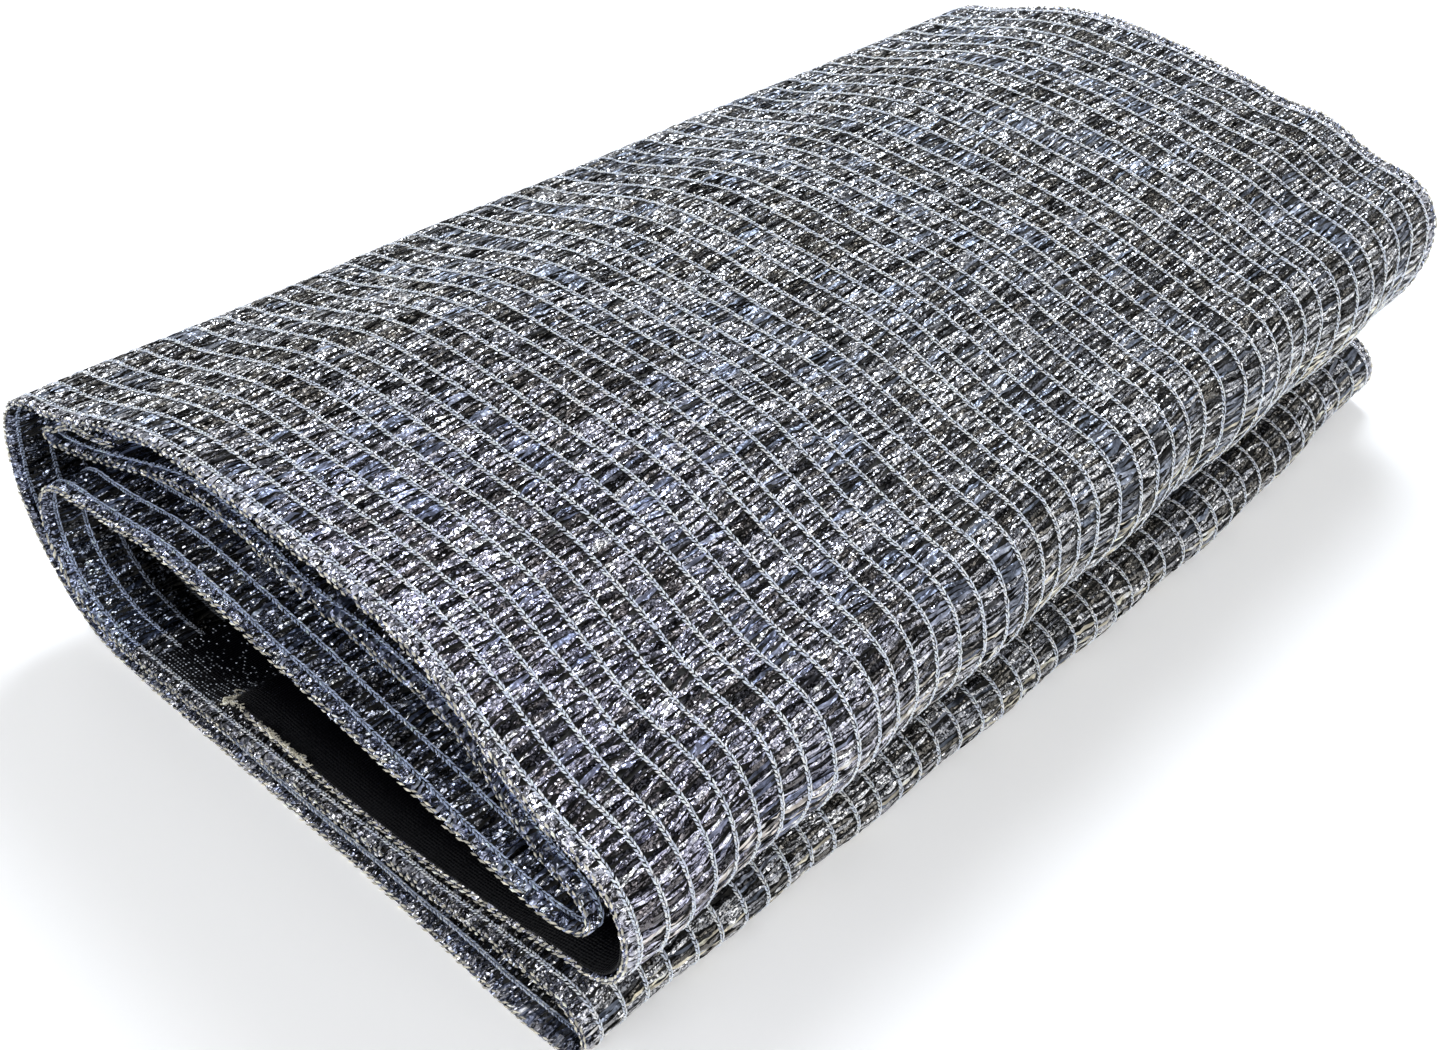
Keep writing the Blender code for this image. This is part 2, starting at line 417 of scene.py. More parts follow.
# Ribs: their places from the near end to the far one, with a slow wander.
rib_at = (np.arange(RIBS) + 0.5) / RIBS
rib_at = rib_at + RIB_SPREAD * (rib_at ** 2 - rib_at)
BAY_EDGES = np.concatenate([[0.0], rib_at, [1.0]])
WANDER_STEP = 12.0
wander = RNG.normal(0, 1, (RIBS + 2, int(cloth.length / WANDER_STEP) + 6))
wander = (wander[:, :-2] + 2 * wander[:, 1:-1] + wander[:, 2:]) / 4
wander = wander[:, :-1] * 0.5 + wander[:, 1:] * 0.5
shared = np.cumsum(RNG.normal(0, 0.25, wander.shape), axis=0) * 0.35
WANDER = (wander * 0.55 + shared - shared.mean(axis=1, keepdims=True)) / LENGTH
WANDER[0] *= 0.8
WANDER[-1] *= 0.8


def rim_push(s):
    """How far in mm the near rim stands out at s."""
    past = s - REGION["lower right"][0] - RIM_PUSH_AT
    return RIM_PUSH * np.exp(-(past / RIM_PUSH_OVER) ** 2)


def rib_v(edge, s):
    """v of a bay's edge, by its number, at s."""
    place = np.clip(s / WANDER_STEP, 0, WANDER.shape[1] - 2)
    i = place.astype(int)
    t = place - i
    move = WANDER[edge, i] * (1 - t) + WANDER[edge, i + 1] * t
    return BAY_EDGES[edge] + move - np.where(edge == 0, rim_push(s), 0) / LENGTH


def field(s_step, v_cells, seed):
    """A reader of a smooth random field over s and v."""
    rng = np.random.default_rng(seed)
    table = rng.normal(0, 1, (v_cells + 3, int(cloth.length / s_step) + 4))

    def read(s, v):
        i = np.clip(s / s_step, 0, table.shape[1] - 2)
        j = np.clip(v, 0, 0.9999) * v_cells
        a, b = smooth(i % 1), smooth(j % 1)
        i, j = i.astype(int), j.astype(int)
        low = table[j, i] * (1 - a) + table[j, i + 1] * a
        high = table[j + 1, i] * (1 - a) + table[j + 1, i + 1] * a
        return low * (1 - b) + high * b
    return read


broad = field(48.0, 16, 21)


def streaks(s_step, seed):
    """A reader of random streaks, each along one bay of the knit."""
    rng = np.random.default_rng(seed)
    table = rng.normal(0, 1, (RIBS + 1, int(cloth.length / s_step) + 5))
    offset = rng.uniform(0, 1, RIBS + 1)

    def read(s, bay):
        i = np.clip(s / s_step + offset[bay], 0, table.shape[1] - 2)
        a = smooth(i % 1)
        i = i.astype(int)
        return table[bay, i] * (1 - a) + table[bay, i + 1] * a
    return read


streak = streaks(38.0, 22)

SILVER = np.array([0.56, 0.56, 0.575])
EDGE_SILVER = np.array([0.70, 0.70, 0.77])
GREY = np.array([0.30, 0.305, 0.33])
SLATE = np.array([0.155, 0.175, 0.22])
LILAC = np.array([0.27, 0.29, 0.345])
OLIVE = np.array([0.165, 0.155, 0.14])
DARK = np.array([0.04, 0.04, 0.042])
THREAD = np.array([0.86, 0.92, 1.05])
# Painted shade: threads on inner faces are darker and bluer, and darker again on the hidden
# face.
SHADED_INNER_THREAD = THREAD * np.array([0.62, 0.68, 0.80])
SHADED_HIDDEN_THREAD = SHADED_INNER_THREAD * 0.6
CREAM = np.array([0.60, 0.56, 0.45])
FRAY_CREAM = CREAM * 1.2
# Painted glint colour for the band's stitches.
STITCH_GLINT = np.array([0.9, 0.95, 1.05])
# Painted reflection of light from below on foil where the right folds face down.
BEIGE_REFLECTION = np.array([0.78, 0.72, 0.58])

# Which strips take which colour, by a patchy hue and a tone for each strip.
BROAD_SHARE = 0.3
STREAK_SHARE = 0.6
HUE_SPREAD = 0.55
COOL_ABOVE = 0.95
WARM_BELOW = -0.2
SILVER_ABOVE = -0.3            # tones
LILAC_ABOVE = 0.1
OLIVE_BELOW = 0.1
DARK_BELOW = -1.3
SILVER_ROUGH = (0.10, 0.20)
COOL_ROUGH = (0.26, 0.42)
BEIGE_ROUGH = 0.42
EDGE_SHARE = 0.6               # how far the rims' strips go towards EDGE_SILVER

# How the foil's colour shifts at the near right: it ends at this v, and this many mm
# past the right fold.
NEAR_LILAC = np.array([0.02, 0.0, 0.18])
NEAR_LILAC_TO = 0.5
NEAR_LILAC_PAST = 230.0
NEAR_LILAC_OVER = 140.0


def under_table():
    """Where the folds on the right face down, and the tone above which foil is beige there as
    a painted reflection of light from below.
    """
    never = 9.0
    places = []
    tones = []
    for name, share, tone in (("upper right", 0.6, 0.75), ("lower right", 0.7, 0.9)):
        start, end = REGION[name]
        turn = start + (end - start) * share
        places += [start - 16, start - 4, turn - 6, turn + 6]
        tones += [never, tone, tone, never]
    return np.array(places), np.array(tones)


UNDER_AT, UNDER_TONE = under_table()


def new_mesh(name, points, faces, surface_material, tone=None, rough=None, soft=False):
    """An object from points in mm and rows of vertex numbers."""
    data = bpy.data.meshes.new(name)
    points = (np.asarray(points).reshape(-1, 3) - CENTRE) * MM
    points[:, 2] = np.maximum(points[:, 2], LOWEST)
    faces = np.asarray(faces)
    count, corners = faces.shape
    data.vertices.add(len(points))
    data.vertices.foreach_set("co", points.astype(np.float32).ravel())
    data.loops.add(count * corners)
    data.loops.foreach_set("vertex_index", faces.astype(np.int32).ravel())
    data.polygons.add(count)
    starts = np.arange(0, count * corners, corners, dtype=np.int32)
    data.polygons.foreach_set("loop_start", starts)
    data.polygons.foreach_set("use_smooth", np.full(count, soft))
    data.update(calc_edges=True)
    if tone is not None:
        colours = np.ones((len(points), 4), np.float32)
        colours[:, :3] = np.asarray(tone).reshape(-1, 3)
        layer = data.color_attributes.new("tone", "FLOAT_COLOR", "POINT")
        layer.data.foreach_set("color", colours.ravel())
    if rough is not None:
        layer = data.attributes.new("rough", "FLOAT", "POINT")
        layer.data.foreach_set("value", np.asarray(rough, np.float32).ravel())
    data.materials.append(surface_material)
    made = bpy.data.objects.new(name, data)
    bpy.context.scene.collection.objects.link(made)
    return made


def grid_faces(rows, columns, first=0):
    """Quads of a grid of points, row by row."""
    i, j = np.meshgrid(np.arange(rows - 1), np.arange(columns - 1), indexing="ij")
    corner = (first + i * columns + j).ravel()
    return np.stack([corner, corner + 1, corner + columns + 1, corner + columns], axis=1)


def repeat_faces(pattern, count, points):
    """One pattern of faces for each of several equal groups of points."""
    firsts = np.arange(count)[:, None, None] * points
    return (pattern[None] + firsts).reshape(-1, pattern.shape[1])


def per_point(tone, points, brightest=BRIGHTEST):
    """One colour for all the points of each group."""
    return np.clip(np.repeat(tone[:, None], points, axis=1), 0, brightest)


# Strips.

def strip_look(s, v, bay, count):
    """A base colour and a roughness for each strip.

    Most are silver, with slate, lilac and olive patches, and beige where the right folds face
    down, a painted reflection of light from below.
    """
    hue = BROAD_SHARE * broad(s, v) + STREAK_SHARE * streak(s, bay)
    hue = hue + RNG.normal(0, HUE_SPREAD, count)
    tone = RNG.normal(0, 1, count)
    colour = np.where((tone > SILVER_ABOVE)[:, None], SILVER, GREY)
    rough = RNG.uniform(*SILVER_ROUGH, count)
    cool = hue > COOL_ABOVE
    bluish = np.where((tone > LILAC_ABOVE)[:, None], LILAC, SLATE)
    colour = np.where(cool[:, None], bluish, colour)
    rough = np.where(cool, RNG.uniform(*COOL_ROUGH, count), rough)
    warm = (hue < WARM_BELOW) & (tone < OLIVE_BELOW)
    colour = np.where(warm[:, None], OLIVE, colour)
    colour = np.where((tone < DARK_BELOW)[:, None], DARK, colour)
    # Painted reflection: beige on foil where the right folds face down.
    beige = tone > np.interp(s, UNDER_AT, UNDER_TONE)
    colour = np.where(beige[:, None], BEIGE_REFLECTION, colour)
    rough = np.where(beige, BEIGE_ROUGH, rough)
    past = (REGION["top"][0] + NEAR_LILAC_PAST - s) / NEAR_LILAC_OVER
    near_right = smooth(1 - v / NEAR_LILAC_TO) * smooth(past)
    colour = colour * (1 + near_right[:, None] * NEAR_LILAC)
    return colour * np.exp(RNG.normal(0, STRIP_SHADE, count))[:, None], rough


def painted_depth_shade(v):
    """Painted shade: dimming with depth inside the bundle, where little light gets in between
    the layers.
    """
    depth = np.minimum(v, 1 - v) * LENGTH
    return 1 - (1 - FADE_TO) * smooth((depth - FADE_FROM) / FADE_OVER)


def strips(name, s_rows, bays, stations, flip=1, tint=(1, 1, 1), depth_shaded=False):
    """Crumpled strips between ribs, one for each row and bay.

    A flip of -1 is for the hidden face.
    """
    s, bay = np.meshgrid(s_rows, bays, indexing="ij")
    s = s.ravel()
    bay = bay.ravel()
    n = len(s)
    s = s + RNG.normal(0, ROW_SPREAD, n)
    t = np.linspace(0, 1, stations)
    near = rib_v(bay, s)
    far = rib_v(bay + 1, s)
    v = near[:, None] + (far - near)[:, None] * t
    middle = np.sin(pi * t) ** 0.7
    edge_bay = (bay == 0) | (bay == RIBS)
    wide = STRIP_HALF * RNG.uniform(*STRIP_WIDTHS, n)
    wide = wide[:, None] * np.where(edge_bay[:, None], RIM_FULLNESS, 0.5 + 0.5 * middle)
    shift = RNG.normal(0, LEAN_SPREAD, n)[:, None] * (t - 0.5) * 2
    shift = shift + RNG.normal(0, SIDE_SPREAD, (n, stations))
    rise = np.abs(RNG.normal(*ARCH, n))[:, None] * middle
    rough_lift = RNG.normal(0, LIFT_SPREAD, (n, stations))
    tilt = RNG.normal(0, STRIP_TILT, n)[:, None]
    tilt = tilt + RNG.normal(0, STATION_TILT, (n, stations))
    shown = shown_side(s, flip)[:, None]
    lift = shown * (STAND_OFF * np.abs(face(s))[:, None] + rise + rough_lift)
    to_rim = np.where((bay == 0)[:, None], 1 - t, t)
    curl = np.where(edge_bay[:, None], RIM_CURL * to_rim ** 3, 0.0)
    lift = lift - shown * curl
    points = []
    for side in (-1, 0, 1):
        crease = RNG.normal(0, CREASE_SPREAD, (n, stations)) if side == 0 else 0.0
        s_point = s[:, None] + shift + side * wide * np.cos(tilt)
        lift_point = lift + side * wide * np.sin(tilt) + crease
        lift_point = lift_point + RNG.normal(0, FINE_SPREAD, (n, stations))
        points.append(cloth.at(s_point, v, np.clip(lift_point, *LIFT_LIMITS)))
    points = np.stack(points, axis=2)
    faces = repeat_faces(grid_faces(stations, 3), n, stations * 3)
    colour, rough = strip_look(s, (near + far) / 2, bay, n)
    edge_colour = colour * (1 - EDGE_SHARE) + EDGE_SILVER * EDGE_SHARE
    colour = np.where(edge_bay[:, None], edge_colour, colour)
    # Painted shade, darker with depth.
    if depth_shaded:
        colour = colour * painted_depth_shade((near + far) / 2)[:, None]
    spread = RNG.normal(0, STATION_SHADE, (n, stations, 1))
    spread = np.exp(spread + RNG.normal(0, POINT_SHADE, (n, stations, 3)))[..., None]
    tone = np.clip(colour[:, None, None, :] * spread * np.array(tint), 0.0, BRIGHTEST)
    return new_mesh(name, points, faces, STRIP, tone, np.repeat(rough, stations * 3))


def flat_strips(name, s_rows, bays, tint=(1, 1, 1)):
    """Plain strips deep inside the bundle, one quad each."""
    s, bay = np.meshgrid(s_rows, bays, indexing="ij")
    s = s.ravel()
    bay = bay.ravel()
    n = len(s)
    near = rib_v(bay, s)
    far = rib_v(bay + 1, s)
    shown = shown_side(s)
    points = np.empty((n, 4, 3))
    for k, (side, v) in enumerate(((-1, near), (1, near), (1, far), (-1, far))):
        lift = shown * RNG.uniform(0.3, 0.9, n) + side * RNG.normal(0, 0.3, n)
        points[:, k] = cloth.at(s + side * STRIP_HALF * 0.85, v, lift)
    faces = repeat_faces(np.array([[0, 1, 2, 3]]), n, 4)
    colour, rough = strip_look(s, (near + far) / 2, bay, n)
    return new_mesh(name, points, faces, STRIP, per_point(colour * np.array(tint), 4),
                    np.repeat(rough, 4))


# Threads.

TOP_SPINDLE = np.array([[0, 2, 4], [1, 4, 2], [0, 4, 3], [1, 3, 4], [0, 3, 2], [1, 2, 3]])
FULL_SPINDLE = np.array([[0, 2, 4], [1, 4, 2], [0, 4, 3], [1, 3, 4],
                         [0, 3, 5], [1, 5, 3], [0, 5, 2], [1, 2, 5]])


def spindles(start, end, wide, high, out, full):
    """Short threads from start to end, thickest in the middle: points and faces."""
    n = len(start)
    run = end - start
    side = np.cross(run, out)
    side /= np.linalg.norm(side, axis=1, keepdims=True)
    middle = (start + end) / 2
    points = [start, end, middle + side * wide, middle - side * wide, middle + out * high]
    if full:
        points.append(middle - out * high)
    points = np.stack(points, axis=1)
    pattern = FULL_SPINDLE if full else TOP_SPINDLE
    return points, repeat_faces(pattern, n, points.shape[1])


def ribs(name, s_from, s_to, edges, full, flip=1, colour=THREAD, depth_shaded=False):
    """Chain-stitched ribs: two leaning threads for each stitch, like a plait."""
    s, edge = np.meshgrid(np.arange(s_from, s_to, STITCH_PITCH), edges, indexing="ij")
    s = s.ravel()
    edge = edge.ravel()
    n = len(s)
    s = s + RNG.normal(0, RIB_SPREAD_ALONG, n)
    shown = shown_side(s, flip)
    v = rib_v(edge, s)
    out = cloth.read(cloth.out, s, v) * shown[:, None]
    starts = []
    ends = []
    for side in (-1, 1):
        inner = side * RNG.uniform(*RIB_INNER, n) / LENGTH
        outer = side * RNG.uniform(*RIB_OUTER, n) / LENGTH
        base = shown * RNG.normal(*RIB_LIFT, n)
        s_end = s + STITCH_PITCH * RNG.uniform(*RIB_OVERLAP, n)
        starts.append(cloth.at(s, v + inner, base))
        ends.append(cloth.at(s_end, v + outer, base * 0.75))
    start = np.concatenate(starts)
    end = np.concatenate(ends)
    outs = np.concatenate([out, out])
    points, faces = spindles(start, end, RIB_HALF_WIDE, RIB_HALF_HIGH, outs, full)
    shade = np.exp(RNG.normal(*RIB_SHADE, 2 * n))[:, None] * colour
    # Painted shade, darker with depth.
    if depth_shaded:
        shade = shade * np.tile(painted_depth_shade(v), 2)[:, None]
    tone = per_point(shade, points.shape[1], BRIGHTEST_THREAD)
    return new_mesh(name, points, faces, PALE, tone)


def loops(name, s, v, out_lift, lean, long, thick, colour):
    """Thick pale stitches along an edge, each on its own place of the cloth."""
    n = len(s)
    half = long / 2 * RNG.uniform(0.85, 1.15, n)
    slip = lean * RNG.normal(1, 0.3, n) / LENGTH
    start = cloth.at(s - half, v - slip, out_lift - 0.2)
    end = cloth.at(s + half, v + slip, out_lift + 0.2)
    out = cloth.read(cloth.out, s, v) * np.where(out_lift < 0, -1.0, 1.0)[:, None]
    points, faces = spindles(start, end, thick, thick, out, True)
    shade = np.exp(RNG.normal(0, 0.35, n))[:, None] * colour
    return new_mesh(name, points, faces, PALE, per_point(shade, points.shape[1]))


def edging(name, at_far_end):
    """A double row of cream stitches along the rim of every layer and fold, at one end."""
    s = np.arange(1.0, cloth.length - 1.0, EDGE_PITCH)
    row = np.repeat([0, 1], len(s))
    s = np.concatenate([s, s + EDGE_PITCH / 2]) + RNG.normal(0, 0.3, 2 * len(s))
    kept = RNG.random(len(s)) > EDGE_MISSING
    s, row = s[kept], row[kept]
    lift = shown_side(s) * np.where(row == 0, *EDGE_LIFTS) + RNG.normal(0, 0.12, len(s))
    inset = np.where(row == 0, *EDGE_INSETS) + RNG.normal(0, 0.15, len(s))
    v = inset / LENGTH
    if at_far_end:
        v = 1 - v
    else:
        v = v - rim_push(s) / LENGTH
    return loops(name, s, v, lift, EDGE_LEAN, EDGE_PITCH * EDGE_LONG, EDGE_THICK, CREAM)


# Materials.

FACET_SCALE = 1150.0           # facets to a metre
SHINY_LEAN = 1.3               # how far facets lean on shiny and on dull strips
DULL_LEAN = 0.3
THREAD_GRAIN = 2500.0
GAP_SHADE_GRAIN = 400.0
KNIT_GRAIN = 800.0
STITCH_GRAIN = 2000.0


def material(name):
    """A new node material, with its nodes, its links and its shader."""
    made = bpy.data.materials.new(name)
    made.use_nodes = True
    tree = made.node_tree
    return made, tree.nodes, tree.links, tree.nodes["Principled BSDF"]


def vertex_tone(nodes, links, shader):
    """Colour from the mesh's own tones."""
    tone = nodes.new("ShaderNodeAttribute")
    tone.attribute_name = "tone"
    links.new(tone.outputs["Color"], shader.inputs["Base Color"])


def add_bump(nodes, links, shader, height, strength, distance, invert=False):
    """A bump from a height output; distance is in metres."""
    bump = nodes.new("ShaderNodeBump")
    bump.invert = invert
    bump.inputs["Strength"].default_value = strength
    bump.inputs["Distance"].default_value = distance
    links.new(height, bump.inputs["Height"])
    links.new(bump.outputs["Normal"], shader.inputs["Normal"])


def strip_material():
    """Foil: small flat facets, each leaning its own way, over the strips' own colours."""
    made, nodes, links, shader = material("metallised_strip")
    vertex_tone(nodes, links, shader)
    rough = nodes.new("ShaderNodeAttribute")
    rough.attribute_name = "rough"
    links.new(rough.outputs["Fac"], shader.inputs["Roughness"])
    shader.inputs["Metallic"].default_value = 0.95
    place = nodes.new("ShaderNodeTexCoord")
    cells = nodes.new("ShaderNodeTexVoronoi")
    cells.inputs["Scale"].default_value = FACET_SCALE
    links.new(place.outputs["Object"], cells.inputs["Vector"])
    lean = nodes.new("ShaderNodeVectorMath")
    lean.operation = "SUBTRACT"
    lean.inputs[1].default_value = (0.5, 0.5, 0.5)
    links.new(cells.outputs["Color"], lean.inputs[0])
    scale = nodes.new("ShaderNodeVectorMath")
    scale.operation = "SCALE"
    steep = nodes.new("ShaderNodeMapRange")
    steep.inputs["From Min"].default_value = SILVER_ROUGH[0]
    steep.inputs["From Max"].default_value = COOL_ROUGH[1]
    steep.inputs["To Min"].default_value = SHINY_LEAN
    steep.inputs["To Max"].default_value = DULL_LEAN
    links.new(rough.outputs["Fac"], steep.inputs["Value"])
    links.new(steep.outputs["Result"], scale.inputs["Scale"])
    links.new(lean.outputs["Vector"], scale.inputs[0])
    flat = nodes.new("ShaderNodeNewGeometry")
    add = nodes.new("ShaderNodeVectorMath")
    add.operation = "ADD"
    links.new(flat.outputs["Normal"], add.inputs[0])
    links.new(scale.outputs["Vector"], add.inputs[1])
    unit = nodes.new("ShaderNodeVectorMath")
    unit.operation = "NORMALIZE"
    links.new(add.outputs["Vector"], unit.inputs[0])
    links.new(unit.outputs["Vector"], shader.inputs["Normal"])
    return made


def thread_material():
    """Fibrous thread for the ribs, the rims and the frayed loops."""
    made, nodes, links, shader = material("pale_thread")
    vertex_tone(nodes, links, shader)
    shader.inputs["Roughness"].default_value = 0.5
    shader.inputs["Sheen Weight"].default_value = 0.6
    shader.inputs["Sheen Roughness"].default_value = 0.4
    shader.inputs["Sheen Tint"].default_value = (0.82, 0.90, 1.0, 1)
    place = nodes.new("ShaderNodeNewGeometry")
    noise = nodes.new("ShaderNodeTexNoise")
    noise.inputs["Scale"].default_value = THREAD_GRAIN
    links.new(place.outputs["Position"], noise.inputs["Vector"])
    add_bump(nodes, links, shader, noise.outputs["Fac"], 0.4, 0.0003)
    return made


def gap_shade_material():
    """Painted shade: a near-black, slightly olive sheet that stands for the shade seen through
    the gaps between the net's strips.
    """
    made, nodes, links, shader = material("painted_gap_shade")
    place = nodes.new("ShaderNodeNewGeometry")
    noise = nodes.new("ShaderNodeTexNoise")
    noise.inputs["Scale"].default_value = GAP_SHADE_GRAIN
    noise.inputs["Detail"].default_value = 3.0
    links.new(place.outputs["Position"], noise.inputs["Vector"])
    ramp = nodes.new("ShaderNodeValToRGB")
    dark, pale = ramp.color_ramp.elements
    dark.position = 0.35
    dark.color = (0.003, 0.003, 0.004, 1)
    pale.position = 0.75
    pale.color = (0.030, 0.028, 0.023, 1)
    links.new(noise.outputs["Fac"], ramp.inputs["Fac"])
    links.new(ramp.outputs["Color"], shader.inputs["Base Color"])
    shader.inputs["Roughness"].default_value = 0.6
    shader.inputs["Specular IOR Level"].default_value = 0.25
    add_bump(nodes, links, shader, noise.outputs["Fac"], 0.6, 0.0008)
    return made


def knit_material():
    """A fine black knit with hardly any shine."""
    made, nodes, links, shader = material("black_knit")
    shader.inputs["Base Color"].default_value = (0.002, 0.002, 0.003, 1)
    shader.inputs["Roughness"].default_value = 0.35
    shader.inputs["Specular IOR Level"].default_value = 0.08
    place = nodes.new("ShaderNodeTexCoord")
    cells = nodes.new("ShaderNodeTexVoronoi")
    cells.inputs["Scale"].default_value = KNIT_GRAIN
    cells.inputs["Randomness"].default_value = 0.25
    links.new(place.outputs["Object"], cells.inputs["Vector"])
    add_bump(nodes, links, shader, cells.outputs["Distance"], 0.9, 0.0007, invert=True)
    return made


def stitch_material():
    """The stitches of the black knit, whose pale tones are painted glints of light."""
    made, nodes, links, shader = material("knit_stitch")
    vertex_tone(nodes, links, shader)
    shader.inputs["Roughness"].default_value = 0.3
    shader.inputs["Specular IOR Level"].default_value = 0.08
    place = nodes.new("ShaderNodeTexCoord")
    noise = nodes.new("ShaderNodeTexNoise")
    noise.inputs["Scale"].default_value = STITCH_GRAIN
    links.new(place.outputs["Object"], noise.inputs["Vector"])
    add_bump(nodes, links, shader, noise.outputs["Fac"], 0.3, 0.0003)
    return made


def floor_material():
    made, _, _, shader = material("studio_floor")
    shader.inputs["Base Color"].default_value = (0.9, 0.9, 0.9, 1)
    shader.inputs["Roughness"].default_value = 0.7
    shader.inputs["Emission Color"].default_value = (1, 1, 1, 1)
    shader.inputs["Emission Strength"].default_value = 0.3
    return made


STRIP = strip_material()
PALE = thread_material()
GAP_SHADE = gap_shade_material()
KNIT = knit_material()
STITCH = stitch_material()


def thin_sheet(name, surface, s, v, half, made_of):
    """A closed sheet of even thickness on a surface."""
    ss, vv = np.meshgrid(s, v, indexing="ij")
    upper = surface.at(ss, vv, np.full(ss.shape, half)).reshape(-1, 3)
    lower = surface.at(ss, vv, np.full(ss.shape, -half)).reshape(-1, 3)
    rows, columns = ss.shape
    count = rows * columns
    top = grid_faces(rows, columns)
    bottom = grid_faces(rows, columns, count)[:, ::-1]
    rims = []
    for start, step, steps, turn in (
            (0, 1, columns - 1, -1), ((rows - 1) * columns, 1, columns - 1, 1),
            (0, columns, rows - 1, 1), (columns - 1, columns, rows - 1, -1)):
        i = start + step * np.arange(steps)
        rims.append(np.stack([i, i + step, i + step + count, i + count], axis=1)[:, ::turn])
    faces = np.vstack([top, bottom] + rims)
    return new_mesh(name, np.vstack([upper, lower]), faces, made_of, soft=True)


def make_gap_shade_sheet():
    """The thin sheet under the strips, on the sheet's middle, near-black as painted shade
    between them.
    """
    s = np.linspace(0, cloth.length, 420)
    v = np.linspace(0.004, 0.996, 26)
    return thin_sheet("painted_gap_shade", cloth, s, v, GAP_SHADE_HALF, GAP_SHADE)


def band_sheet():
    """The black band, along its whole width."""
    s = np.linspace(0, band.length, 110)
    return thin_sheet("knit_band", band, s, np.linspace(0, 1, 30), BAND_HALF, KNIT)


def rows_between(start, end):
    """Where the strips lie between two places along the section."""
    return np.arange(start + STRIP_PITCH / 2, end, STRIP_PITCH)


def curls(name, surface, s, v, lift, turn, radius, thick, colour):
    """Frayed loops of thread: half rings of short pieces standing on a surface."""
    n = len(s)
    angle = np.linspace(-0.2, pi + 0.2, CURL_STEPS + 1)
    centres = surface.at(s, v, lift)
    out = surface.read(surface.out, s, v)
    run = surface.read(surface.run, s, v)
    rise = surface.read(surface.rise, s, v)
    side = run * np.cos(turn)[:, None] + rise * np.sin(turn)[:, None]
    up = np.cross(side, out) * 0.75 + out * RNG.normal(0.3, 0.35, n)[:, None]
    ring = (centres[:, None] + radius[:, None, None] * (
        side[:, None] * np.cos(angle)[None, :, None]
        + up[:, None] * 1.5 * np.sin(angle)[None, :, None]))
    start = ring[:, :-1].reshape(-1, 3)
    end = ring[:, 1:].reshape(-1, 3)
    grow = (end - start) * 0.35
    outs = np.repeat(out, CURL_STEPS, axis=0)
    points, faces = spindles(start - grow, end + grow, thick, thick, outs, True)
    shade = np.repeat(np.exp(RNG.normal(0, 0.3, n)), CURL_STEPS)[:, None] * colour
    return new_mesh(name, points, faces, PALE, per_point(shade, points.shape[1]))


# Ranges in mm for the loops along the band's rim and for those at the flap's corner.
Frays = namedtuple("Frays", "count s y lift radius")
FRAYS = [
    Frays(75, s=(47, 104), y=(-1.4, 0.6), lift=(0.0, 1.2), radius=(0.6, 1.3)),
    Frays(9, s=(45, 51), y=(-1, 7), lift=(0.4, 1.4), radius=(1.4, 2.6)),
]
FRAY_TURN = 0.9
FRAY_THICK = 0.42


def frayed_corner():
    """Loose loops about the flap's corner, along the band's rim and over its end."""
    def draw(measure):
        return np.concatenate([RNG.uniform(*getattr(row, measure), row.count)
                               for row in FRAYS])

    s, y, lift, radius = [draw(measure) for measure in ("s", "y", "lift", "radius")]
    turn = RNG.uniform(-FRAY_TURN, FRAY_TURN, len(s))
    return curls("frayed_loops", band, s, y / band_span, lift, turn, radius, FRAY_THICK,
                 FRAY_CREAM)


# Painted glints: where the band's stitches are built, and how pale they are coloured.
KNIT_ROWS = np.arange(0.8, 95.0, 1.7)      # along the band, in mm
KNIT_WALES = np.arange(0.6, 46.0, 1.5)     # in from its ends, in mm
KNIT_RISE = 0.42
RIM_GLINTS = (0.95, 14.0)                  # share lit at the rim, and the depth it fades over
RIM_GLINTS_TO = 52
DEEP_GLINTS = (0.5, 34.0, 8.0)             # share lit, its depth and its spread
DEEP_GLINTS_FROM = 55
STITCH_TONES = (0.15, 0.95)


def knit_stitches():
    """Raised stitches of the band, in rows, where its ends are seen; their pale tones are
    painted glints of light.
    """
    s, y = np.meshgrid(KNIT_ROWS, KNIT_WALES, indexing="ij")
    s = np.tile(s.ravel(), 2)
    depth = np.tile(y.ravel(), 2)
    v = np.concatenate([y.ravel(), band_span - y.ravel()]) / band_span
    share, over = RIM_GLINTS
    rim_glints = share * np.exp(-depth / over) * (s < RIM_GLINTS_TO)
    share, at_depth, over = DEEP_GLINTS
    deep_glints = share * np.exp(-((depth - at_depth) / over) ** 2) * (s > DEEP_GLINTS_FROM)
    lit = RNG.random(len(s)) < rim_glints + deep_glints
    s, v = s[lit], v[lit]
    n = len(s)
    start = band.at(s - 0.45, v - 0.2 / LENGTH, np.full(n, KNIT_RISE))
    end = band.at(s + 0.45, v + 0.2 / LENGTH, np.full(n, KNIT_RISE))
    out = band.read(band.out, s, v)
    points, faces = spindles(start, end, 0.30, 0.34, out, False)
    tone = RNG.uniform(*STITCH_TONES, n)[:, None] ** 1.5 * STITCH_GLINT
    return new_mesh("knit_stitches", points, faces, STITCH,
                    np.repeat(tone[:, None], points.shape[1], axis=1))


ALL_BAYS = np.arange(RIBS + 1)
ALL_RIBS = np.arange(1, RIBS + 1)
end_bays = np.concatenate([ALL_BAYS[:END_BAYS], ALL_BAYS[-END_BAYS:]])
deep_bays = ALL_BAYS[END_BAYS:-END_BAYS]
end_ribs = np.concatenate([ALL_RIBS[:END_BAYS], ALL_RIBS[-END_BAYS:]])

